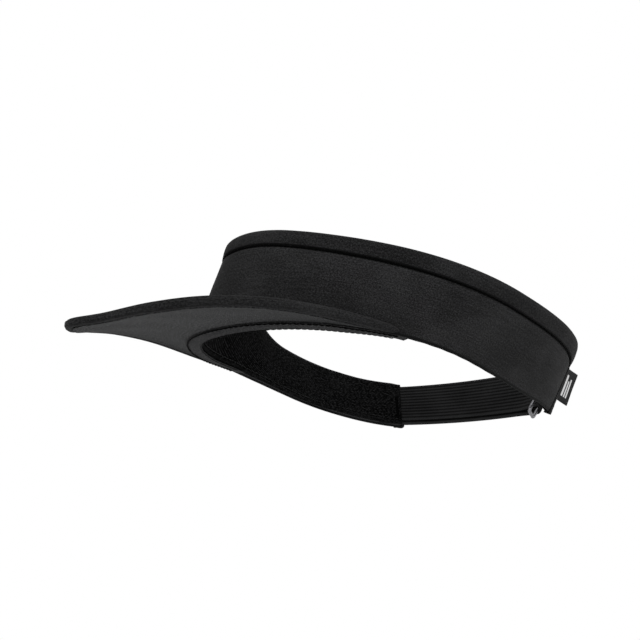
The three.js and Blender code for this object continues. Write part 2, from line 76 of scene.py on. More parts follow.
def through(values, s):
    """Smooth curve through equally spaced values (values: list, s: array)."""
    p = np.asarray(values, float)
    n = len(p) - 1
    c = np.clip(np.asarray(s, float), 0, n)
    i = np.minimum(np.floor(c).astype(int), n - 1)
    f = c - i
    p1, p2 = p[i], p[i + 1]
    p0 = np.where(i > 0, p[np.maximum(i - 1, 0)], 2 * p[0] - p[1])
    p3 = np.where(i + 2 <= n, p[np.minimum(i + 2, n)], 2 * p[n] - p[n - 1])
    return 0.5 * (2 * p1 + (p2 - p0) * f + (2 * p0 - 5 * p1 + 4 * p2 - p3) * f * f + (3 * p1 - p0 - 3 * p2 + p3) * f**3)


def through_even(values, s):
    return through([values[2], values[1], *values], np.abs(s) + 2)


def through_odd(values, s):
    return np.sign(s) * through([-values[2], -values[1], *values], np.abs(s) + 2)


def smooth(a, b, v):
    f = np.clip((np.asarray(v, float) - a) / (b - a), 0, 1)
    return f * f * (3 - 2 * f)


def unit(v):
    return v / np.maximum(np.linalg.norm(v, axis=-1, keepdims=True), 1e-12)


def rim(t):
    t = np.asarray(t, float)
    s, c = np.sin(t), np.cos(t)
    r = 1 / (np.abs(s) ** RIM_P + np.abs(c) ** RIM_P) ** (1 / RIM_P)
    y = -np.where(c > 0, RIM_F, RIM_R) * c * r
    z = DIP * np.maximum(c, 0) ** 2 + RISE * np.maximum(-c, 0) ** 2
    return np.stack([RIM_W * s * r * (1 + REAR_WIDEN * smooth(105 * D, 131 * D, np.abs(t))), y, z], -1)


def level(t):
    d = rim(t + 1e-3) - rim(t - 1e-3)
    return unit(np.stack([d[..., 1], -d[..., 0], 0 * d[..., 0]], -1))


def dent_at(right):
    return smooth(-92, -67, right) * (1 - smooth(-36, -6, right))


def wall(t):
    t = np.asarray(t, float)
    deg, right = np.abs(t) / D / 10, t / D
    base, n = rim(t), level(t)
    # the right front corner is pressed in, the left end turns in and the right rear end droops
    flare = through_even(FLARE, deg) - PRESSED * dent_at(right) - END_IN * smooth(104, 131, right)
    height = through_even(HEIGHT, deg) - DROOP * smooth(95, 131, -right)
    rise = n * flare[..., None] + np.array([0, 0, 1.0]) * height[..., None]
    high = np.linalg.norm(rise, axis=-1)
    up = rise / high[..., None]
    out = unit(np.cross(unit(rim(t + 1e-3) - rim(t - 1e-3)), up))
    out = np.where((out * n).sum(-1, keepdims=True) < 0, -out, out)
    return base, up, out, high


def on_wall(t, a, o):
    """Points of the band: round at t, a mm up from its lower edge, o mm outwards."""
    base, up, out, _ = wall(t)
    return base + up * np.asarray(a, float)[..., None] + out * np.asarray(o, float)[..., None]


def high_at(t):
    return wall(np.asarray(t, float))[3]


def sweat_off(t):
    d = np.asarray(t) / D
    return -1.35 - 1.8 * (1 - smooth(58, 70, np.abs(d))) - 1.55 * smooth(100, 112, -d)


def edge(u):
    u = np.asarray(u, float)
    s = np.abs(u) * 6
    return np.stack([through_odd(PEAK_X, np.sign(u) * s), through_even(PEAK_Y, s), through_even(PEAK_Z, s)], -1)


def edge_out(u):
    d = edge(np.minimum(u + 1e-3, 1)) - edge(np.maximum(u - 1e-3, -1))
    return unit(np.stack([d[..., 1], -d[..., 0], 0 * d[..., 0]], -1))


def on_peak(u, v, lift, inset=4.2, start=None):
    u, v, lift = np.broadcast_arrays(np.asarray(u, float), np.asarray(v, float), np.asarray(lift, float))
    t = u * PEAK_END * D
    first = 1.4 + 0.22 * np.maximum(lift, 0) if start is None else start
    a = rim(t) + level(t) * np.asarray(first)[..., None]
    b = edge(u) - edge_out(u) * np.asarray(inset, float)[..., None]
    p = a + (b - a) * v[..., None]
    p[..., 2] += DOME * 4 * v * (1 - v) * np.maximum(0, 1 - (u / PEAK_HALF) ** 2) + lift
    return p


CONE = math.atan(LEAN)


def on_cone(x, z, off):
    x, z, off = np.broadcast_arrays(np.asarray(x, float), np.asarray(z, float), np.asarray(off, float))
    r = CONE_R + LEAN * (z - CONE_Z)
    s = x / r
    c = np.sqrt(1 - s * s)
    n = np.stack([s * math.cos(CONE), c * math.cos(CONE), 0 * s - math.sin(CONE)], -1)
    return np.stack([r * s, CONE_Y + r * c, z], -1) + n * off[..., None]


def near_x(z):
    return NEAR_X + SLANT * (np.asarray(z, float) - MID_Z)


def far_x(z):
    return FAR_X - SLANT * (np.asarray(z, float) - MID_Z)


# ------------------------------------------------------------------ mesh making
def volume(points, faces):
    total = 0.0
    for f in faces:
        a = points[f[0]]
        for k in range(1, len(f) - 1):
            total += float(np.dot(a, np.cross(points[f[k]], points[f[k + 1]])))
    return total / 6


def make(name, points, faces, uvs, material, flat_faces=()):
    """One mesh object from points in mm; uvs holds one (u, v) in mm for each corner of each face."""
    points = np.asarray(points, float)
    if volume(points, faces) < 0:
        faces = [tuple(reversed(f)) for f in faces]
        uvs = [list(reversed(q)) for q in uvs]
    me = bpy.data.meshes.new(name)
    me.from_pydata([tuple(p * MM) for p in points], [], faces)
    layer = me.uv_layers.new(name="cloth")
    data = np.array([c for q in uvs for c in q], "f").reshape(-1)
    layer.data.foreach_set("uv", data)
    me.polygons.foreach_set("use_smooth", [True] * len(me.polygons))
    me.update()
    o = bpy.data.objects.new(name, me)
    bpy.context.scene.collection.objects.link(o)
    if material is not None:
        me.materials.append(material)
    return o


def lengths(points):
    return np.concatenate([[0], np.cumsum(np.linalg.norm(np.diff(points, axis=0), axis=1))])


def tube_of(name, rings, material, closed_path=False, caps=True, uv_turn=0.0, middle=None):
    """A closed surface through rings: an array (stations, points round, 3). The ring closes on itself."""
    n, m, _ = rings.shape
    pts = rings.reshape(-1, 3)
    along = lengths(rings.mean(axis=1))
    mid = rings[n // 2 if middle is None else middle]
    round_it = lengths(np.vstack([mid, mid[:1]]))
    faces, uvs = [], []
    last = n if closed_path else n - 1
    close = float(np.linalg.norm(rings[-1].mean(0) - rings[0].mean(0)))
    for i in range(last):
        i2 = (i + 1) % n
        u0, u1 = along[i], along[i + 1] if i + 1 < n else along[-1] + close
        for j in range(m):
            j2 = (j + 1) % m
            faces.append((i * m + j, i2 * m + j, i2 * m + j2, i * m + j2))
            v0, v1 = round_it[j], round_it[j + 1]
            uvs.append([(u0, v0), (u1, v0), (u1, v1), (u0, v1)])
    if caps and not closed_path:
        pts = np.vstack([pts, rings[0].mean(0), rings[-1].mean(0)])
        a, b = n * m, n * m + 1
        for j in range(m):
            j2 = (j + 1) % m
            faces.append((a, j, j2))
            uvs.append([(0, 0), (0, round_it[j]), (0, round_it[j + 1])])
            faces.append((b, (n - 1) * m + j2, (n - 1) * m + j))
            uvs.append([(along[-1], 0), (along[-1], round_it[j + 1]), (along[-1], round_it[j])])
    return make(name, pts, faces, uvs, material)


def slab_of(name, lo, hi, material, roundness=0.0):
    """A closed sheet between two grids (nu, nv, 3), with rounded rims of its own thickness."""
    nu, nv, _ = lo.shape
    rim_pts = []
    mid = (lo + hi) / 2
    # rings across v, so that the sheet is a flattened tube along u
    k = 4
    rings = []
    for i in range(nu):
        top, bottom = hi[i], lo[i]
        ring = list(bottom)
        for side in (-1, 0):
            # half turn at the v end, then at the v start
            if side == -1:
                e0, e1, inner = bottom[-1], top[-1], mid[i, -2]
            else:
                e0, e1, inner = top[0], bottom[0], mid[i, 1]
            c = (e0 + e1) / 2
            half = np.linalg.norm(e1 - e0) / 2
            outward = unit(c - inner)
            for q in range(1, k):
                a = math.pi * q / k
                ring.append(c + (e0 - c) * math.cos(a) + outward * half * math.sin(a))
            if side == -1:
                ring.extend(list(top[::-1]))
        rings.append(ring)
    rings = np.array(rings)
    # the u ends are closed by tube_of's flat end caps
    first, last = rings[0], rings[-1]
    return tube_of(name, rings, material)


def stitch_row(name, pts, ups, pitch, length, radius, material, sink=0.35, sides=6, jitter=0.06):
    """Separate stitches of thread along a polyline (n, 3), each a small swollen capsule; ups is the surface normal."""
    along = lengths(pts)
    total = along[-1]
    count = max(1, int(total / pitch))
    P, F, U = [], [], []
    rings = 5
    for s in range(count):
        s0 = (s + 0.5) * total / count - length / 2
        js = 1 + jitter * (RNG.random() - 0.5) * 2
        base = len(P)
        prev = None
        for k in range(rings):
            f = k / (rings - 1)
            d = np.clip(s0 + f * length, 0, total)
            p = np.array([np.interp(d, along, pts[:, c]) for c in range(3)])
            n = unit(np.array([np.interp(d, along, ups[:, c]) for c in range(3)]))
            q = np.array([np.interp(min(d + 0.2, total), along, pts[:, c]) for c in range(3)])
            q0 = np.array([np.interp(max(d - 0.2, 0), along, pts[:, c]) for c in range(3)])
            tan = unit(q - q0)
            side = unit(np.cross(tan, n))
            swell = math.sin(math.pi * min(max(f, 0.06), 0.94)) ** 0.45
            lift = radius * (swell * 1.15 - sink)
            r = radius * js * (0.35 + 0.65 * swell)
            for j in range(sides):
                a = 2 * math.pi * j / sides
                P.append(p + n * (lift + r * 0.85 * math.sin(a)) + side * (r * math.cos(a)))
        for k in range(rings - 1):
            for j in range(sides):
                j2 = (j + 1) % sides
                F.append((base + k * sides + j, base + (k + 1) * sides + j, base + (k + 1) * sides + j2, base + k * sides + j2))
                U.append([(k, j), (k + 1, j), (k + 1, j + 1), (k, j + 1)])
        F.append(tuple(base + j for j in reversed(range(sides))))
        U.append([(0, j) for j in range(sides)])
        F.append(tuple(base + (rings - 1) * sides + j for j in range(sides)))
        U.append([(rings, j) for j in range(sides)])
    P = np.array(P)
    flipped = volume(P, F[: len(F) // count]) < 0
    if flipped:
        F = [tuple(reversed(f)) for f in F]
    o = make(name, P, F, U, material)
    return o


def wire(name, path, radius, material, closed=False, sides=12):
    """A round wire along a polyline."""
    path = np.asarray(path, float)
    n = len(path)
    nxt = np.roll(path, -1, 0) - path
    prv = path - np.roll(path, 1, 0)
    if not closed:
        nxt[-1], prv[0] = prv[-1], nxt[0]
    tan = unit(unit(nxt) + unit(prv))
    ref = None
    rings = []
    for i in range(n):
        if ref is None:
            g = np.array([0, 0, 1.0]) if abs(tan[0][2]) < 0.8 else np.array([1.0, 0, 0])
            ref = unit(np.cross(tan[0], g))
        ref = unit(ref - tan[i] * np.dot(ref, tan[i]))
        b = np.cross(tan[i], ref)
        rings.append([path[i] + radius * (ref * math.cos(a) + b * math.sin(a)) for a in np.linspace(0, 2 * math.pi, sides, endpoint=False)])
    return tube_of(name, np.array(rings), material, closed_path=closed)


# ------------------------------------------------------------------ materials
class Nodes:
    def __init__(self, name, uv=True):
        self.m = bpy.data.materials.new(name)
        self.m.use_nodes = True
        self.t = self.m.node_tree
        self.t.nodes.clear()
        self.out = self.t.nodes.new("ShaderNodeOutputMaterial")
        self.p = self.t.nodes.new("ShaderNodeBsdfPrincipled")
        self.t.links.new(self.p.outputs[0], self.out.inputs["Surface"])
        if uv:
            n = self.t.nodes.new("ShaderNodeUVMap")
            n.uv_map = "cloth"
            self.co = n.outputs["UV"]
        else:
            n = self.t.nodes.new("ShaderNodeTexCoord")
            self.co = n.outputs["Object"]

    def link(self, a, b):
        self.t.links.new(a, b)

    def mapping(self, scale, rotation=(0, 0, 0), src=None):
        n = self.t.nodes.new("ShaderNodeMapping")
        n.inputs["Scale"].default_value = scale
        n.inputs["Rotation"].default_value = rotation
        self.link(src or self.co, n.inputs["Vector"])
        return n.outputs[0]

    def wave(self, scale, angle=0.0, distortion=0.0, detail=0.0, detail_scale=1.0, profile="SIN", src=None):
        n = self.t.nodes.new("ShaderNodeTexWave")
        n.wave_type = "BANDS"
        n.bands_direction = "X"
        n.wave_profile = profile
        n.inputs["Scale"].default_value = scale
        n.inputs["Distortion"].default_value = distortion
        n.inputs["Detail"].default_value = detail
        n.inputs["Detail Scale"].default_value = detail_scale
        self.link(self.mapping((1, 1, 1), (0, 0, angle), src), n.inputs["Vector"])
        return n.outputs["Fac"]

    def noise(self, scale, detail=3.0, rough=0.55, stretch=(1, 1, 1), rotation=(0, 0, 0), src=None):
        n = self.t.nodes.new("ShaderNodeTexNoise")
        n.inputs["Scale"].default_value = scale
        n.inputs["Detail"].default_value = detail
        n.inputs["Roughness"].default_value = rough
        self.link(self.mapping(stretch, rotation, src), n.inputs["Vector"])
        return n.outputs["Fac"]

    def math(self, op, a, b=None, clamp=False):
        n = self.t.nodes.new("ShaderNodeMath")
        n.operation = op
        n.use_clamp = clamp
        for k, v in enumerate((a, b)):
            if v is None:
                continue
            if isinstance(v, (int, float)):
                n.inputs[k].default_value = v
            else:
                self.link(v, n.inputs[k])
        return n.outputs[0]

    def mix(self, f, a, b):
        n = self.t.nodes.new("ShaderNodeMix")
        n.data_type = "RGBA"
        if isinstance(f, (int, float)):
            n.inputs["Factor"].default_value = f
        else:
            self.link(f, n.inputs["Factor"])
        for socket, v in (("A", a), ("B", b)):
            s = [i for i in n.inputs if i.name == socket and i.type == "RGBA"][0]
            if isinstance(v, tuple):
                s.default_value = (*v, 1)
            else:
                self.link(v, s)
        return [q for q in n.outputs if q.type == "RGBA"][0]

    def ramp(self, f, stops):
        n = self.t.nodes.new("ShaderNodeMapRange")
        n.inputs["From Min"].default_value = stops[0]
        n.inputs["From Max"].default_value = stops[1]
        n.inputs["To Min"].default_value = stops[2]
        n.inputs["To Max"].default_value = stops[3]
        self.link(f, n.inputs["Value"])
        return n.outputs[0]

    def bump(self, height, strength, distance):
        n = self.t.nodes.new("ShaderNodeBump")
        n.inputs["Strength"].default_value = strength
        n.inputs["Distance"].default_value = distance * MM
        self.link(height, n.inputs["Height"])
        self.link(n.outputs[0], self.p.inputs["Normal"])

    def set(self, **values):
        for k, v in values.items():
            s = self.p.inputs[k.replace("_", " ")]
            s.default_value = (*v, 1) if isinstance(v, tuple) and len(v) == 3 else v


TAU = 2 * math.pi


def cloth(name, dark, light, pitch=0.62, angle=0.62, bump=0.12, rough=0.88, sheen=0.03, grain=0.9, blotch=0.25, cross=True, spec=0.08, coarse=1.0, rim=None):
    """Woven cloth. Coordinates are in mm along and across the piece: a fine diagonal twill, the yarns' grain and
    slow variation from wear."""
    g = Nodes(name)
    scale = 2 * math.pi / pitch / 20
    twill = g.wave(scale, angle, distortion=0.5, detail=1.0)
    yarn = g.wave(2 * math.pi / (pitch * 0.72) / 20, angle - 1.25)
    speck = g.noise(1.05 * coarse, 4, 0.7)
    fine = g.noise(2.4 * coarse, 3, 0.65)
    slow = g.noise(0.035, 3, 0.55)
    streak = g.noise(0.5, 3, 0.6, stretch=(0.12, 1.6, 1))
    weave = g.math("ADD", g.math("MULTIPLY", twill, 0.65), g.math("MULTIPLY", yarn, 0.35)) if cross else twill
    grainy = g.math("ADD", g.math("MULTIPLY", speck, 0.5), g.math("MULTIPLY", fine, 0.5))
    f = g.math("ADD", g.math("MULTIPLY", weave, 0.22), g.math("MULTIPLY", g.ramp(grainy, (0.43, 0.62, -0.25, 0.95)), grain))
    f = g.math("ADD", f, g.math("MULTIPLY", g.ramp(slow, (0.35, 0.65, -0.5, 0.5)), blotch))
    f = g.math("ADD", f, g.math("MULTIPLY", g.ramp(streak, (0.35, 0.65, -0.5, 0.5)), 0.18), clamp=True)
    if rim:  # painted shade: the colour darkens to the dark yarn colour along the lower edge, where the piece is sewn down, standing in for the shadow in that seam
        sep = g.t.nodes.new("ShaderNodeSeparateXYZ")
        g.link(g.co, sep.inputs[0])
        f = g.math("MULTIPLY", f, g.ramp(sep.outputs[1], (rim[0], rim[1], 0.0, 1.0)))
    g.link(g.mix(f, dark, light), g.p.inputs["Base Color"])
    r = g.ramp(grainy, (0.3, 0.7, rough - 0.08, rough + 0.08))
    g.link(r, g.p.inputs["Roughness"])
    g.set(Specular_IOR_Level=spec, Sheen_Weight=sheen, Sheen_Roughness=0.45)
    h = g.math("ADD", g.math("MULTIPLY", weave, 0.7), g.math("MULTIPLY", grainy, 0.9))
    g.bump(h, 0.6, bump)
    return g.m


def lin(v):
    v = v / 255
    return v / 12.92 if v <= 0.04045 else ((v + 0.055) / 1.055) ** 2.4


def grey(v, tint=(1.0, 1.0, 1.03)):
    return tuple(lin(v) * k for k in tint)


# rim=(1.1, 1.9) paints shade along the shell's lower edge, for the shadow in the crease where it meets the peak
M_SHELL = cloth("shell_cloth", grey(6), grey(51), coarse=1.15, rim=(1.1, 1.9))
M_EDGE = cloth("edge_cloth", grey(8), grey(46), coarse=1.2)
# rim=(0.75, 1.25) paints shade on the binding's lower lip, along the ditch below it
M_BIND = cloth("binding_cloth", grey(3), grey(47), coarse=1.2, rim=(0.75, 1.25))
M_FOLD = cloth("fold_cloth", grey(7), grey(40), pitch=0.9, coarse=1.1)
M_UNDER = cloth("under_cloth", grey(20, (1, 1.01, 1.03)), grey(81, (1, 1.01, 1.03)), pitch=0.8, grain=1.0, blotch=0.08, sheen=0.02)
M_TAPE = cloth("tape_cloth", grey(18), grey(66), pitch=0.7, blotch=0.1, sheen=0.02)


def knit(name, dark, light, pitch, angle, depth, rough=0.9):
    """Sweatband knit: fine slanted ribs crossed by rows of loops."""
    g = Nodes(name)
    ribs = g.wave(2 * math.pi / pitch / 20, angle, distortion=0.6, detail=1.0, detail_scale=0.6)
    loops = g.wave(2 * math.pi / 0.9 / 20, angle + math.pi / 2, distortion=0.4, detail=1.0, detail_scale=1.0)
    speck = g.noise(0.6, 4, 0.65)
    slow = g.noise(0.05, 3, 0.5)
    f = g.math("MULTIPLY", g.ramp(ribs, (0.35, 1.0, -0.05, 1.1)), g.ramp(speck, (0.44, 0.62, 0.0, 1.05)))
    f = g.math("ADD", f, g.math("MULTIPLY", loops, 0.04))
    f = g.math("ADD", f, g.math("MULTIPLY", g.ramp(speck, (0.52, 0.64, 0.0, 1)), 0.25))
    f = g.math("ADD", f, g.math("MULTIPLY", g.ramp(slow, (0.35, 0.65, -0.5, 0.5)), 0.12), clamp=True)
    g.link(g.mix(f, dark, light), g.p.inputs["Base Color"])
    g.link(g.ramp(speck, (0.3, 0.7, rough - 0.06, rough + 0.06)), g.p.inputs["Roughness"])
    g.set(Specular_IOR_Level=0.015, Sheen_Weight=0.0, Sheen_Roughness=0.5)
    h = g.math("ADD", g.math("MULTIPLY", ribs, 1.0), g.math("MULTIPLY", loops, 0.25))
    h = g.math("ADD", h, g.math("MULTIPLY", speck, 0.3))
    g.bump(h, 0.8, depth)
    return g.m


M_KNIT = knit("sweat_knit", grey(0.1), grey(36), 1.8, math.pi / 2 - 0.42, 0.22)
M_HEM = knit("hem_knit", grey(6), grey(34), 0.8, 1.1, 0.12)


def webbing(name, dark, light, pitch, width):
    """Elastic webbing: the ribs are in the mesh; fine loops cross them, with covered rubber lines."""
    g = Nodes(name)
    cross = g.wave(2 * math.pi / 0.75 / 20, 0.0, distortion=0.5, detail=1.0)
    lines = g.wave(2 * math.pi / pitch / 20, math.pi / 2)
    sep = g.t.nodes.new("ShaderNodeSeparateXYZ")
    g.link(g.co, sep.inputs[0])
    # painted highlight: the strap's lower edge, on both faces, is lightened where light catches it
    painted_edge_highlight = g.math("MAXIMUM", g.ramp(sep.outputs[1], (0.5, 1.1, 1, 0)), g.ramp(sep.outputs[1], (2 * width - 1.1, 2 * width - 0.5, 0, 1)))
    speck = g.noise(1.8, 4, 0.7)
    slow = g.noise(0.06, 3, 0.5)
    f = g.math("ADD", g.math("MULTIPLY", cross, 0.12), g.math("MULTIPLY", g.ramp(lines, (0.15, 0.95, -0.15, 1.0)), 0.62))
    f = g.math("ADD", f, g.math("MULTIPLY", g.ramp(speck, (0.42, 0.62, -0.3, 1)), 0.36))
    f = g.math("ADD", f, g.math("MULTIPLY", painted_edge_highlight, 0.7))
    f = g.math("ADD", f, g.math("MULTIPLY", g.ramp(slow, (0.35, 0.65, -0.5, 0.5)), 0.25), clamp=True)
    g.link(g.mix(f, dark, light), g.p.inputs["Base Color"])
    g.link(g.ramp(speck, (0.3, 0.7, 0.78, 0.92)), g.p.inputs["Roughness"])
    g.set(Specular_IOR_Level=0.06, Sheen_Weight=0.01, Sheen_Roughness=0.5)
    g.bump(g.math("ADD", g.math("MULTIPLY", cross, 0.8), g.math("MULTIPLY", speck, 0.5)), 0.6, 0.12)
    return g.m




def thread(name, dark, light, spec=0.15):
    g = Nodes(name)
    twist = g.wave(1.6, 0.9)
    n = g.noise(2.0, 2, 0.5)
    g.link(g.mix(g.math("MULTIPLY", g.math("ADD", twist, n), 0.5), dark, light), g.p.inputs["Base Color"])
    g.link(g.ramp(n, (0.3, 0.7, 0.5, 0.65)), g.p.inputs["Roughness"])
    g.set(Specular_IOR_Level=spec, Sheen_Weight=0.0)
    g.bump(twist, 0.5, 0.05)
    return g.m


M_THREAD = thread("black_thread", grey(7), grey(24))
M_THREAD_EDGE = thread("edge_thread", grey(14), grey(40))
# the stitches are real, but this thread is made near-black, darker than the black thread, to paint the shade in the
# ditch below the binding
M_THREAD_PAINTED_SHADE = thread("seam_thread_painted_shade", grey(0.2), grey(2.5), spec=0.02)


def metal(name):
    g = Nodes(name)
    n = g.noise(0.6, 4, 0.6)
    fine = g.noise(4.0, 2, 0.6, stretch=(0.1, 1.5, 1))
    g.link(g.mix(n, (0.14, 0.14, 0.15), (0.26, 0.26, 0.27)), g.p.inputs["Base Color"])
    g.link(g.ramp(fine, (0.3, 0.7, 0.22, 0.36)), g.p.inputs["Roughness"])
    g.set(Metallic=1.0)
    g.bump(fine, 0.2, 0.02)
    return g.m


M_METAL = metal("ring_metal")


def tag_cloth():
    """Black satin-woven tag with a few plain pale bars (no lettering)."""
    g = Nodes("tag_cloth")
    sep = g.t.nodes.new("ShaderNodeSeparateXYZ")
    g.link(g.co, sep.inputs[0])
    x, y = sep.outputs[0], sep.outputs[1]

    def band(v, lo, hi, soft=0.12):
        a = g.ramp(v, (lo - soft, lo + soft, 0, 1))
        b = g.ramp(v, (hi - soft, hi + soft, 1, 0))
        return g.math("MULTIPLY", a, b)

    weft = g.wave(2 * math.pi / 0.38 / 20, 0.0)
    warp = g.wave(2 * math.pi / 0.30 / 20, math.pi / 2)
    marks = None
    for x0, x1, y0, y1 in TAG_BARS:
        m = g.math("MULTIPLY", band(x, x0, x1), band(y, y0, y1))
        marks = m if marks is None else g.math("MAXIMUM", marks, m)
    marks = g.math("MULTIPLY", marks, g.ramp(g.math("ADD", weft, g.noise(2.5, 3, 0.6)), (0.3, 1.2, 0.62, 1.0)))
    base = g.mix(g.math("MULTIPLY", g.math("ADD", weft, warp), 0.5), grey(10), grey(36))
    g.link(g.mix(marks, base, (0.62, 0.62, 0.62)), g.p.inputs["Base Color"])
    g.link(g.ramp(weft, (0, 1, 0.6, 0.75)), g.p.inputs["Roughness"])
    g.set(Specular_IOR_Level=0.12, Sheen_Weight=0.01)
    g.bump(g.math("ADD", g.math("MULTIPLY", weft, 0.5), g.math("MULTIPLY", marks, 0.8)), 0.6, 0.08)
    return g.m


TAG_BARS = [(1.8, 3.3, 3.2, 15.3), (4.1, 5.1, 3.2, 12.4), (5.8, 6.8, 3.2, 14.0)]
M_TAG = tag_cloth()


def plain(name, a, b, rough, metallic=0.0, scale=60.0):
    """For what is hidden inside: object coordinates in metres."""
    g = Nodes(name, uv=False)
    n = g.noise(scale * 10, 4, 0.6)
    g.link(g.mix(n, a, b), g.p.inputs["Base Color"])
    g.link(g.ramp(n, (0.3, 0.7, rough - 0.05, rough + 0.05)), g.p.inputs["Roughness"])
    g.set(Metallic=metallic)
    g.bump(n, 0.4, 0.1)
    return g.m


def dress(node, material):
    o = frame["nodes"][node]
    o.data.materials.clear()
    o.data.materials.append(material)


# ------------------------------------------------------------------ crown band
def stations(t0, t1, n):
    return np.linspace(t0, t1, n)


def shell_rings(ts):
    rings = []
    for t in ts:
        h = float(high_at(t))
        w = 0.5 + 0.5 * np.cos(np.clip((T_END - abs(t)) / (4 * D), 0, 1) * math.pi)  # flatter beside the end folds
        a = np.concatenate([[0.35, 0.6, 1.0, 1.6, 2.4], np.linspace(3.4, h - BIND - 2.2, 16), [h - BIND - 1.4, h - BIND - 0.8, h - BIND - 0.3, h - BIND + 0.3, h - 1.2]])
        top = h - BIND
        # cloth over the stiffener: swells a little between the lower edge and the ditch of the binding
        f = np.clip(a / top, 0, 1)
        swell = 0.42 * np.sin(math.pi * f) ** 0.55 * (1 - 0.8 * w)
        ditch = -0.85 * np.exp(-(((a - (top - 0.4)) / 0.7) ** 2))
        o = 0.9 + swell + ditch
        o[0], o[1], o[2], o[3] = 0.35, 0.72, 0.95, 1.12
        o[-1] = 0.6
        # small lazy unevenness of the cloth
        o = o + 0.10 * np.sin(t * 9.0 + a * 0.11) * np.sin(f * math.pi) * (1 - w) + 0.05 * np.sin(t * 23 + a * 0.3) * np.sin(f * math.pi) * (1 - w)
        outer = np.stack([o, a], -1)
        ai = np.linspace(h - 1.2, 0.35, 8)
        inner = np.stack([np.full(8, 0.02), ai], -1)
        sec = np.vstack([outer, inner])
        rings.append(on_wall(np.full(len(sec), t), sec[:, 1], sec[:, 0]))
    return np.array(rings)


ts = stations(-T_END + 0.002, T_END - 0.002, 361)
crown = tube_of("crown_cloth", shell_rings(ts), M_SHELL)
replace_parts(crown, "crown_shell")
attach(crown, "visor")

# binding: a strip folded over the top edge, its outer leg slightly puffed between fold and seam
END_OVER = 0.5 / 60.0


def binding_rings(ts):
    rings = []
    for t in ts:
        tt = np.clip(t, -T_END, T_END)
        h = float(high_at(tt))
        drop = 0.7 * smooth(T_END - 2.5 * D, T_END + END_OVER, abs(t))  # the stub turns down over the end
        pk = 0.07 * math.sin(t * 60) + 0.05 * math.sin(t * 37 + 1)
        puff = 0.10 + pk
        sec = [
            (0.95, -BIND + 0.15),
            (1.22, -BIND - 0.02),
            (1.45, -BIND + 0.25),
            (1.62 + 0.4 * puff, -BIND + 0.9),
            (1.72 + puff, -BIND + 2.0),
            (1.78 + puff, -BIND + 3.4),
            (1.74 + puff * 0.9, -2.2),
            (1.62 + puff * 0.7, -1.1),
            (1.36 + puff * 0.4, -0.35),
            (0.95, 0.5),
            (0.25, 0.85),
            (-0.5, 0.85),
            (-1.15, 0.45),
            (-1.65, -0.3),
            (-1.8, -0.8),
            (-1.85, -1.3),
            (-1.75, -1.8),
            (-1.55, -2.0),
            (-1.38, -1.8),
            (-1.3, -0.9),
            (0.86, -0.9),
            (0.9, -BIND + 2.5),
        ]
        sec = np.array(sec)
        p = on_wall(np.full(len(sec), t), h + 0.3 * smooth(-BIND, 0, sec[:, 1]) + sec[:, 1] - drop, sec[:, 0])
        rings.append(p)
    return np.array(rings)


ts = stations(-T_END - END_OVER, T_END + END_OVER, 401)
binding = tube_of("top_binding_cloth", binding_rings(ts), M_BIND)
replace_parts(binding, "top_binding")
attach(binding, "visor")

# stitches sunk in the ditch below the binding; their near-black thread also paints the ditch's shade
ts = stations(-T_END + 0.02, T_END - 0.02, 300)
h = high_at(ts)
line = on_wall(ts, h - BIND - 0.45, np.full_like(ts, 0.62))
stitches = stitch_row("binding_stitches", line, wall(ts)[2], 2.6, 2.5, 0.44, M_THREAD_PAINTED_SHADE, sink=0.15)
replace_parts(stitches, "binding_topstitch")
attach(stitches, "visor")


# folded ends of the shell
def fold_piece(name, side, node):
    t1 = side * T_END
    rings = []
    hh = float(high_at(t1))
    speed = float(np.linalg.norm(on_wall(t1, hh / 2, 0.0) - on_wall(t1 - side * 0.05, hh / 2, 0.0))) / 0.05
    tan_at = lambda a: unit(on_wall(t1, a, 0.0) - on_wall(t1 - side * 0.01, a, 0.0))
    for a in np.linspace(-0.6 if side > 0 else 0.8, hh - 7.2, 40):
        foot = 0.9 * (1 - float(smooth(0, 13, a)))
        sec = [(-4.6, 0.9), (-4.4, 1.4), (-3.9, 1.7), (-3.1, 1.8), (-2.4, 1.66), (-1.9, 1.52), (-1.3, 1.6), (-0.3, 1.74), (0.6, 1.7), (1.25, 1.35), (1.6, 0.7), (1.66, -0.2), (1.5, -1.1), (1.1, -1.9), (0.45, -2.35), (0.3, -1.7), (0.3, 0.5), (-0.6, 1.1), (-2.5, 1.1), (-4.0, 1.0)]
        ring = []
        pk = 0.06 * math.sin(a * 1.9)
        for tau, o in sec:
            o = o + (pk if o > 1.5 else 0)
            if tau < 0:
                ring.append(on_wall(t1 + side * tau / speed, a, o))
            else:
                ring.append(on_wall(t1, a, o) + tan_at(a) * (tau + foot * side * side))
        rings.append(ring)
    o = tube_of(name, np.array(rings), M_FOLD)
    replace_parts(o, node)
    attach(o, "visor")
    # row of stitches along the fold
    aa = np.linspace(1.4, hh - 8.4, 60)
    pts = np.array([on_wall(t1 - side * 1.9 / speed, a, 1.56) for a in aa])
    nn = np.array([wall(np.array(t1 - side * 1.9 / speed))[2] for _ in aa])
    st = stitch_row(name + "_stitches", pts, nn, 2.6, 2.0, 0.2, M_THREAD)
    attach(st, "visor")
    return o


fold_piece("rear_fold_left_cloth", 1, "rear_end_fold_left")
fold_piece("rear_fold_right_cloth", -1, "rear_end_fold_right")


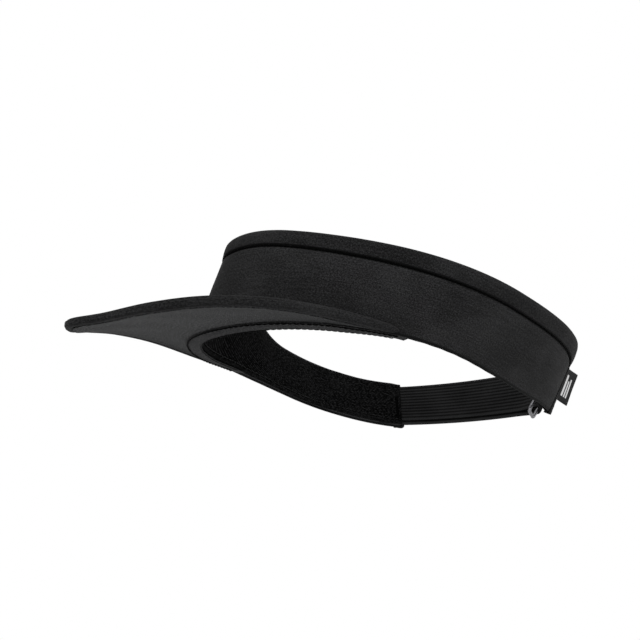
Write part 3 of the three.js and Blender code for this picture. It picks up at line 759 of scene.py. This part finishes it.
# sweatband: soft knit, swollen over the forehead foam, gathered a little at its top seam
def sweat_rings(ts):
    rings = []
    for t in ts:
        h = float(high_at(t))
        s = float(sweat_off(t))
        foam = 1 - float(smooth(50, 62, abs(t / D)))
        top = h - 2.1
        low = 1.95 + 1.1 * float(dent_at(t / D))
        a = np.concatenate([[low], np.linspace(low + 0.65, top - 0.6, 26), [top]])
        f = (a - low) / (top - low)
        belly = (0.30 + 0.75 * foam) * np.sin(math.pi * np.clip(f, 0, 1)) ** 0.7
        inner = s - 0.95 - belly - 0.05 * np.sin(t * 41 + f * 3)
        inner[0], inner[-1] = s - 0.6, s - 0.5
        sec_in = np.stack([inner, a], -1)
        ao = np.linspace(top, low, 6)
        sec_out = np.stack([np.full(6, s - 0.02), ao], -1)
        sec = np.vstack([sec_in, sec_out])
        rings.append(on_wall(np.full(len(sec), t), sec[:, 1], sec[:, 0]))
    return np.array(rings)


ts = stations(-T_END + 0.004, T_END - 0.004, 361)
sweat = tube_of("sweatband_knit", sweat_rings(ts), M_KNIT)
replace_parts(sweat, "sweatband")
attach(sweat, "visor")


# rolled hem along the sweatband's lower edge
def hem_rings(ts):
    rings = []
    for t in ts:
        s = float(sweat_off(t))
        r = 1.0 + 0.05 * math.sin(t * 70)
        q = np.linspace(0, 2 * math.pi, 14, endpoint=False)
        o = s - 0.62 + 0.85 * r * np.cos(q)
        a = 1.35 + 1.1 * float(dent_at(t / D)) + 1.05 * r * np.sin(q)
        rings.append(on_wall(np.full(14, t), a, o))
    return np.array(rings)


hem = tube_of("sweatband_hem_roll", hem_rings(ts), M_HEM)
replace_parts(hem, "sweatband_hem")
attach(hem, "visor")
ts2 = stations(-T_END + 0.03, T_END - 0.03, 300)
so = sweat_off(ts2)
pts = on_wall(ts2, 2.95 + 1.1 * dent_at(ts2 / D), so - 1.3)
hs = stitch_row("hem_stitches", pts, -wall(ts2)[2], 2.8, 2.1, 0.2, M_THREAD)
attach(hs, "visor")

# ------------------------------------------------------------------ peak
us = np.linspace(-0.845, 0.845, 181)


def peak_grid(us, vs, lift, inset=4.0, start=None):
    U, Vv = np.meshgrid(us, vs, indexing="ij")
    return on_peak(U, Vv, np.full_like(U, lift), inset=np.full_like(U, inset), start=start)


vs = np.linspace(0, 1, 26)


def cloth_rings(us, low, high, inset, name):
    """The lower and upper grids of the sheet across the peak, for each station u."""
    lo, hi = peak_grid(us, vs, low, inset), peak_grid(us, vs, high, inset)
    return lo, hi


def peak_cloth(name, low, high, inset, material, node, over=0.0, ripple=0.0):
    lo, hi = cloth_rings(us, low, high, inset, name)
    if ripple:
        U, Vv = np.meshgrid(us, vs, indexing="ij")
        bumpy = ripple * (np.sin(U * 21 + Vv * 5) * np.sin(Vv * math.pi) + 0.5 * np.sin(U * 47 - Vv * 11) * np.sin(Vv * math.pi))
        lo[..., 2] += bumpy
        hi[..., 2] += bumpy
        if low > 2:
            thin = 0.75 * (1 - smooth(0.08, 0.42, np.abs(U))) * smooth(0.8, 1.0, Vv)
            lo[..., 2] -= thin
            hi[..., 2] -= thin
    o = slab_of(name, lo, hi, material)
    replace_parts(o, node)
    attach(o, "visor")
    return o


under = peak_cloth("peak_under_cloth", 0.12, 0.85, 3.6, M_UNDER, "peak_under_cover", ripple=0.05)
top = peak_cloth("peak_top_cloth", 3.32, 4.02, 3.2, M_SHELL, "peak_top_cover", ripple=0.05)


# rolled edge
def roll_rings(us):
    rings = []
    for u in us:
        inner, outer = -3.4, 0.55 * float(smooth(0.70, 0.93, abs(u)))
        high = 4.6 - 0.9 * float(smooth(0.80, 0.99, abs(u))) - 1.2 * (1 - float(smooth(0.08, 0.42, abs(u))))
        tip = 1 - 0.6 * float(smooth(0.93, 0.99, abs(u)))
        pk = 0.05 * math.sin(u * 160) + 0.04 * math.sin(u * 97 + 2)
        sec = np.array([
            (0.0, 0.30), (0.30, 0.05), (0.62, -0.02), (0.86, 0.06), (0.985, 0.22), (1.03, 0.42), (1.02, 0.62),
            (0.93, 0.82), (0.78, 0.95), (0.55, 1.02), (0.30, 1.0), (0.06, 0.93), (-0.02, 0.86), (0.0, 0.6),
        ])
        x = inner + (outer - inner) * (0.5 + (sec[:, 0] - 0.5) * tip)
        y = high * (0.5 + (sec[:, 1] - 0.5) * tip) + 0.0
        x = x + np.where(sec[:, 0] > 0.8, pk, 0)
        c = edge(u)
        n = edge_out(u)
        rings.append(c + x[:, None] * n + np.array([0, 0, 1.0]) * y[:, None])
    return np.array(rings)


ru = np.linspace(-0.99, 0.99, 331)
roll = tube_of("peak_edge_roll", roll_rings(ru), M_EDGE)
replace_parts(roll, "peak_edge_binding")
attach(roll, "visor")

# stitch rows: on the roll's side and on the peak's top
eu = np.linspace(-0.93, 0.93, 400)
c, n = edge(eu), edge_out(eu)
pts = c + n * (0.06 + 0.55 * smooth(0.70, 0.93, np.abs(eu)))[:, None] + np.array([0, 0, 1.0]) * ((4.6 - 1.2 * (1 - smooth(0.08, 0.42, np.abs(eu)))) * 0.60)[:, None]
st = stitch_row("edge_side_stitches", pts, n, 2.7, 2.1, 0.17, M_THREAD_EDGE, sink=0.5)
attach(st, "visor")
UPZ = np.tile(np.array([0, 0, 1.0]), (400, 1))
for nm, v, half, node in (("peak_stitches_outer", 0.92, 0.80, "peak_stitch_row_outer"), ("peak_stitches_inner", 0.80, 0.74, "peak_stitch_row_inner")):
    uu = np.linspace(-half, half, 400)
    pts = on_peak(uu, np.full_like(uu, v), np.full_like(uu, 4.04), inset=np.full_like(uu, 3.2))
    st = stitch_row(nm, pts, UPZ, 2.8, 2.2, 0.24, M_THREAD)
    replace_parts(st, node)
    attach(st, "visor")


# seam tape round the head opening under the peak
def tape_rings(ts):
    rings = []
    for t in ts:
        taper = float(smooth(40 * D, 60 * D, abs(t)))
        x1 = 2.2 - 2.4 * taper
        x0 = -4.6
        tip = 1 - 0.7 * float(smooth(56 * D, 65 * D, abs(t)))
        sec = np.array([(0, 0.5), (0.02, 0.15), (0.12, -0.05), (0.35, -0.22), (0.6, -0.22), (0.85, -0.05), (0.97, 0.12), (1.0, 0.45), (0.97, 0.85), (0.85, 1.0), (0.5, 1.0), (0.15, 1.0), (0.02, 0.85)])
        x = x0 + (x1 - x0) * sec[:, 0]
        z = -0.72 + 0.6 * (0.5 + (sec[:, 1] - 0.5) * tip) - 0.04 * math.sin(t * 50) + 1.1 * float(smooth(46 * D, 64 * D, abs(t)))
        p = rim(t) + level(t) * x[:, None]
        p[:, 2] += z
        rings.append(p)
    return np.array(rings)


ts = stations(-65.2 * D, 65.2 * D, 241)
tape = tube_of("seam_tape_cloth", tape_rings(ts), M_TAPE)
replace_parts(tape, "peak_seam_tape")
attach(tape, "visor")
ts = stations(-62 * D, 62 * D, 260)
for k, off in enumerate((-4.2, 2.05)):
    p = rim(ts) + level(ts) * (off - (2.4 * smooth(40 * D, 60 * D, np.abs(ts)) if off > 0 else 0 * ts))[:, None]
    p[:, 2] += -0.84 + 1.1 * smooth(46 * D, 64 * D, np.abs(ts))
    st = stitch_row(f"tape_stitches_{k + 1}", p, -np.tile(np.array([0, 0, 1.0]), (len(ts), 1)), 2.6, 2.45, (0.2, 0.4)[k], M_THREAD_PAINTED_SHADE, sink=(0.9, 0.35)[k])
    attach(st, "visor")

# ------------------------------------------------------------------ elastic strap
RIBS = 12


def strap_path():
    """Stations along the ribbon's middle: (distance in from the near end line, offset, and the layer, o, l or i), from
    the far end along the outer layer, round the ring and back along the inner layer."""
    out = []
    length = NEAR_X - FAR_X
    for x in np.linspace(length, 1.5, 60):
        part = 1 - float(smooth(0, 16, x))
        out.append((x, 0.5 + (1.2 - 0.5) * part, "o"))
    for q in np.linspace(90, -90, 17)[1:-1]:
        out.append((-0.1 - 1.75 * math.cos(q * D), LOOP_MID + 1.75 * math.sin(q * D), "l"))
    for x in np.linspace(1.5, length, 60):
        part = 1 - float(smooth(0, 16, x))
        out.append((x, -0.65 + (-2.3 + 0.65) * part, "i"))
    return out


def strap_rings():
    path = strap_path()
    n = len(path)
    xy = np.array([(-p[0], p[1]) for p in path])  # x increases towards the near end
    tan = unit(np.gradient(xy, axis=0))
    nor = np.stack([-tan[:, 1], tan[:, 0]], -1)  # outwards on the outer layer
    low = np.array([OUT_LOW if p[2] == "o" else IN_LOW for p in path])
    for i, p in enumerate(path):
        if p[2] == "l":
            f = (p[1] - (LOOP_MID - 1.75)) / 3.5
            low[i] = IN_LOW + (OUT_LOW - IN_LOW) * f
    m = RIBS * 8 + 1
    v = np.linspace(0, 1, m)
    rib = np.abs(np.sin(v * RIBS * math.pi)) ** 0.7
    edge_fade = np.clip(np.minimum(v, 1 - v) / 0.012, 0.25, 1)
    lmid = NEAR_X - FAR_X
    rings = []
    for i in range(n):
        # the lower edge runs a little down towards the ring
        lo = low[i] + 0.7 * (2 * min(max(-xy[i, 0] / (NEAR_X - FAR_X), 0), 1) - 1)
        z = lo + (STRAP_TOP - lo) * v
        wobble = 0.10 * math.sin(xy[i, 0] * 0.21) * np.ones_like(v)
        # the strap's thickness: thicker over each rib, thinner at its two edges
        thick = (0.20 + 0.26 * rib) * edge_fade
        L = near_x(z) - far_x(z)
        for_side = []
        for s in (1, -1):
            X = near_x(z) + (xy[i, 0] + nor[i, 0] * thick * s) * np.where(xy[i, 0] < 0, L / lmid, 1)
            O = xy[i, 1] + nor[i, 1] * thick * s
            zz = z + 0.0
            for_side.append(on_cone(X, zz, O))
        ring = np.vstack([for_side[0], for_side[1][::-1]])
        rings.append(ring)
    return np.array(rings)


# the strap's ends run on inside the right rear end, between stiffener and sweatband
rings = strap_rings()


def tucked(base_ring, sign, off):
    """Continue a ring's layer into the band's right end."""
    more = []
    speed = 62.0
    m = len(base_ring) // 2
    for s in np.linspace(1.5, 9.0, 7):
        t = -T_END + s / speed
        h = float(high_at(t))
        mid = (base_ring[:m] + base_ring[m:][::-1]) / 2
        base, up, outw, _ = wall(np.array(-T_END))
        a = ((mid - base) * up).sum(-1)
        half = ((base_ring[:m] - base_ring[m:][::-1]) * outw).sum(-1) / 2
        f = float(smooth(0, 7, s))
        offs = ((mid - base) * outw).sum(-1)
        o = offs * (1 - f) + off * f
        side1 = on_wall(np.full(m, t), a, o + half)
        side2 = on_wall(np.full(m, t), a, o - half)
        more.append(np.vstack([side1, side2[::-1]]))
    return more


head = tucked(rings[0], 1, -1.5)[::-1]
tail = tucked(rings[-1], 1, -2.3)
rings = np.concatenate([np.array(head), rings, np.array(tail)])
half_ring = rings[20][: rings.shape[1] // 2]
width_mm = float(lengths(half_ring)[-1])
M_ELASTIC = webbing("elastic_webbing", grey(1.5), grey(34), width_mm / RIBS, width_mm)
strap = tube_of("elastic_strap", rings, M_ELASTIC, middle=20)
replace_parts(strap, "strap_inner_layer", "strap_outer_layer", "strap_ring_loop")
near_mid = on_cone(NEAR_X, MID_Z, LOOP_MID)
near_back = on_cone(NEAR_X - 22.0, MID_Z, LOOP_MID)
near_start = on_cone(NEAR_X - 5.0, MID_Z, LOOP_MID)

# ------------------------------------------------------------------ ring, tab and tag
joint = {j["name"]: j for j in frame["joints"]} if isinstance(frame["joints"], list) else frame["joints"]


def j_of(name):
    j = joint[name]
    return np.array(j["pos_m"], float) / MM, unit(np.array(j["axis"], float))


bar_tab, ring_up = j_of("ring_swivel")
TURN = 19.8 * D
ring_along = np.array([-math.sin(TURN), math.cos(TURN), 0.0])
ring_along = unit(ring_along - ring_up * np.dot(ring_along, ring_up))
ring_out = unit(np.cross(ring_along, ring_up))
if ring_out[0] < 0:
    ring_out = -ring_out
REACH, R_HIGH, CORNER, RING_DROP = 11.3, 36.5, 1.8, 1.2
ring_mid = bar_tab + ring_along * REACH / 2 - ring_up * RING_DROP
path = []
hw, hh2 = REACH / 2, R_HIGH / 2
for cx, cy, a0 in ((hw - CORNER, hh2 - CORNER, 0), (-hw + CORNER, hh2 - CORNER, 90), (-hw + CORNER, -hh2 + CORNER, 180), (hw - CORNER, -hh2 + CORNER, 270)):
    for q in np.linspace(a0, a0 + 90, 9):
        path.append((cx + CORNER * math.cos(q * D), cy + CORNER * math.sin(q * D)))
full = []
for k in range(len(path)):
    p, q = np.array(path[k]), np.array(path[(k + 1) % len(path)])
    full.append(p)
    gap = np.linalg.norm(q - p)
    if gap > 2:
        for f in np.linspace(0, 1, int(gap / 1.5) + 1)[1:-1]:
            full.append(p + (q - p) * f)
wire_path = np.array([ring_mid + ring_along * p[0] + ring_up * p[1] for p in full])
ring = wire("end_ring_wire", wire_path, 0.9, M_METAL, closed=True, sides=16)
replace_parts(ring, "end_ring")
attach(ring, "ring")

# tab: a strip folded round the ring's upright, both tails sewn to the sweatband side
h_end = float(high_at(T_END))
end_mid = on_wall(T_END, h_end / 2, 0.0)
speed = float(np.linalg.norm(on_wall(T_END, h_end / 2, 0.0) - on_wall(T_END - 0.1, h_end / 2, 0.0))) / 0.1
back = float(np.dot(bar_tab - end_mid, ring_along))


def on_tab(x, y, hgt):
    straight = bar_tab + ring_along * x + ring_out * y + ring_up * hgt
    t = T_END + (back + x) / speed
    w = float(high_at(t))
    laid = on_wall(t, w * 0.5 + hgt - 0.8, -2.75 + (y - 2.1))
    f = float(smooth(-1.5, -5.0, x)) if x < -1.5 else 0.0
    return straight * (1 - f) + laid * f


def tab_rings():
    path = []
    for x in np.linspace(-14.5, -2.5, 14):
        path.append((x, 1.72))
    for q in np.linspace(115, -150, 22):
        path.append((1.72 * math.cos(q * D), 1.72 * math.sin(q * D)))
    for x in np.linspace(-3.2, -13.6, 12):
        path.append((x, 1.72 - 0.78 - 0.5 * math.exp(-((x + 3.2) / 2.0) ** 2)))
    path = np.array(path)
    tan = unit(np.gradient(path, axis=0))
    nor = np.stack([-tan[:, 1], tan[:, 0]], -1)
    rings = []
    m = 25
    for i in range(len(path)):
        v = np.linspace(-1, 1, m)
        th = 0.34 * np.clip((1 - np.abs(v)) / 0.06, 0.35, 1)
        a = [on_tab(path[i, 0] + nor[i, 0] * th[k], path[i, 1] + nor[i, 1] * th[k], 12.0 * v[k]) for k in range(m)]
        b = [on_tab(path[i, 0] - nor[i, 0] * th[k], path[i, 1] - nor[i, 1] * th[k], 12.0 * v[k]) for k in range(m)]
        rings.append(a + b[::-1])
    return np.array(rings)


tab = tube_of("ring_tab_cloth", tab_rings(), M_EDGE)
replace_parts(tab, "ring_tab")
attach(tab, "visor")


def zigzag(name, place, normal, w, h, pitch, node, radius=0.2, material=None):
    """A bar tack: thread going to and fro over a box w by h."""
    n = int(h / pitch)
    pts, ups = [], []
    for k in range(n * 2 + 1):
        x = -w / 2 if k % 2 == 0 else w / 2
        y = -h / 2 + h * k / (2 * n)
        for f in np.linspace(0, 1, 5)[:-1] if k < n * 2 else [0]:
            x2 = w / 2 if k % 2 == 0 else -w / 2
            y2 = y + h / (2 * n)
            pts.append(place(x + (x2 - x) * f, y + (y2 - y) * f))
    o = wire(name, np.array(pts), radius, material or M_THREAD, sides=6)
    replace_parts(o, node) if node else None
    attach(o, "visor")
    return o


zigzag("tab_tack_thread", lambda x, y: on_tab(-10.0 + x, 0.28, y), None, 3.0, 20.0, 0.7, "tab_bartack")
speed_far = speed
zigzag(
    "anchor_tack_thread",
    lambda x, y: on_wall(-T_END + (3.4 + x) / speed_far, 12.5 + y, float(sweat_off(-T_END + 0.05)) - 1.5),
    None, 1.6, 17.0, 0.7, "anchor_bartack", material=M_THREAD_PAINTED_SHADE,
)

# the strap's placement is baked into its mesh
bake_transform(strap)

# woven tag: folded strip, curling very slightly outwards
tag_root, tag_up = j_of("tag_flex")
TAG_TURN = -2.3 * D
tag_along = np.array([-math.sin(TAG_TURN), math.cos(TAG_TURN), 0.05])
tag_along = unit(tag_along - tag_up * np.dot(tag_along, tag_up))
tag_out = unit(np.cross(tag_along, tag_up))


def tag_rings():
    rings = []
    m = 19
    for x in np.linspace(-0.9, 9.0, 26):
        curl = 0.10 * (max(x, 0) / 9.0) ** 2 * 5
        th = 0.40 if x < 8.4 else 0.40 * math.sqrt(max(0.05, 1 - ((x - 8.4) / 0.62) ** 2))
        v = np.linspace(-1, 1, m)
        tv = th * np.clip((1 - np.abs(v)) / 0.05, 0.4, 1)
        wav = 0.08 * np.sin(v * 3 + x * 0.5)
        c = tag_root + tag_along * x
        a = [c + tag_up * (9.25 * v[k]) + tag_out * (curl + wav[k] + tv[k]) for k in range(m)]
        b = [c + tag_up * (9.25 * v[k]) + tag_out * (curl + wav[k] - tv[k]) for k in range(m)]
        rings.append(a + b[::-1])
    return np.array(rings)


tag = tube_of("woven_tag_cloth", tag_rings(), M_TAG)
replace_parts(tag, "woven_tag")
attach(tag, "tag")

# ------------------------------------------------------------------ what is hidden inside
dress("crown_interlining", plain("interlining", (0.010, 0.010, 0.011), (0.018, 0.018, 0.019), 0.9))
dress("forehead_foam", plain("foam", (0.08, 0.08, 0.085), (0.13, 0.13, 0.135), 0.95))
dress("peak_board", plain("board", (0.02, 0.02, 0.021), (0.035, 0.035, 0.037), 0.5))
dress("peak_seam_allowance", plain("allowance", (0.035, 0.036, 0.04), (0.06, 0.062, 0.066), 0.9))
dress("strap_anchor_patch", plain("anchor", (0.010, 0.010, 0.011), (0.02, 0.02, 0.021), 0.9))

# ------------------------------------------------------------------ camera, light, floor
cam_data = bpy.data.cameras.new("camera")
cam = bpy.data.objects.new("camera", cam_data)
bpy.context.scene.collection.objects.link(cam)
right = Vector((0.69952, 0.69713, 0.15711))
up = Vector((0.17233, -0.37793, 0.90965))
backw = Vector((0.69352, -0.60925, -0.38451))
m = Matrix.Identity(4)
for i in range(3):
    m[i][0], m[i][1], m[i][2] = right[i], up[i], backw[i]
m[0][3], m[1][3], m[2][3] = 0.27710, -0.28831, -0.13569
cam.matrix_world = m
cam_data.lens = 45.898
cam_data.sensor_width = 36.0
cam_data.sensor_fit = "HORIZONTAL"
cam_data.clip_start = 0.01
cam_data.dof.use_dof = False
bpy.context.scene.camera = cam

world = bpy.data.worlds.new("studio")
world.use_nodes = True
bg = world.node_tree.nodes["Background"]
bg.inputs["Color"].default_value = (1, 1, 1, 1)
bg.inputs["Strength"].default_value = 0.72
# the backdrop is plain white to look at, and lights the part more softly
white = world.node_tree.nodes.new("ShaderNodeBackground")
white.inputs["Color"].default_value = (1, 1, 1, 1)
white.inputs["Strength"].default_value = 1.0
ray = world.node_tree.nodes.new("ShaderNodeLightPath")
pick = world.node_tree.nodes.new("ShaderNodeMixShader")
world.node_tree.links.new(ray.outputs["Is Camera Ray"], pick.inputs[0])
world.node_tree.links.new(bg.outputs[0], pick.inputs[1])
world.node_tree.links.new(white.outputs[0], pick.inputs[2])
world.node_tree.links.new(pick.outputs[0], world.node_tree.nodes["World Output"].inputs["Surface"])
bpy.context.scene.world = world
bpy.context.scene.view_settings.view_transform = "Standard"
bpy.context.scene.view_settings.look = "None"


def area(name, loc, target, size, power):
    l = bpy.data.lights.new(name, "AREA")
    l.shape = "RECTANGLE"
    l.size, l.size_y = size
    l.energy = power
    o = bpy.data.objects.new(name, l)
    o.location = loc
    o.rotation_euler = (Vector(target) - Vector(loc)).to_track_quat("-Z", "Y").to_euler()
    bpy.context.scene.collection.objects.link(o)
    return o


area("key_light", (0.55, -0.75, 0.75), (0, 0, 0), (0.7, 0.7), 7.0)
area("fill_light", (0.6, 0.35, 0.25), (0, 0, 0), (0.6, 0.6), 2.2)
area("under_light", (0.2, -0.5, -0.42), (0, -0.03, 0), (0.6, 0.4), 1.2)

floor_mesh = bpy.data.meshes.new("floor")
S = 3.0
floor_mesh.from_pydata([(-S, -S, -0.5), (S, -S, -0.5), (S, S, -0.5), (-S, S, -0.5)], [], [(0, 1, 2, 3)])
floor = bpy.data.objects.new("floor", floor_mesh)
bpy.context.scene.collection.objects.link(floor)
fm = bpy.data.materials.new("floor")
fm.use_nodes = True
fm.node_tree.nodes["Principled BSDF"].inputs["Base Color"].default_value = (0.85, 0.85, 0.85, 1)
fm.node_tree.nodes["Principled BSDF"].inputs["Roughness"].default_value = 0.9
floor_mesh.materials.append(fm)
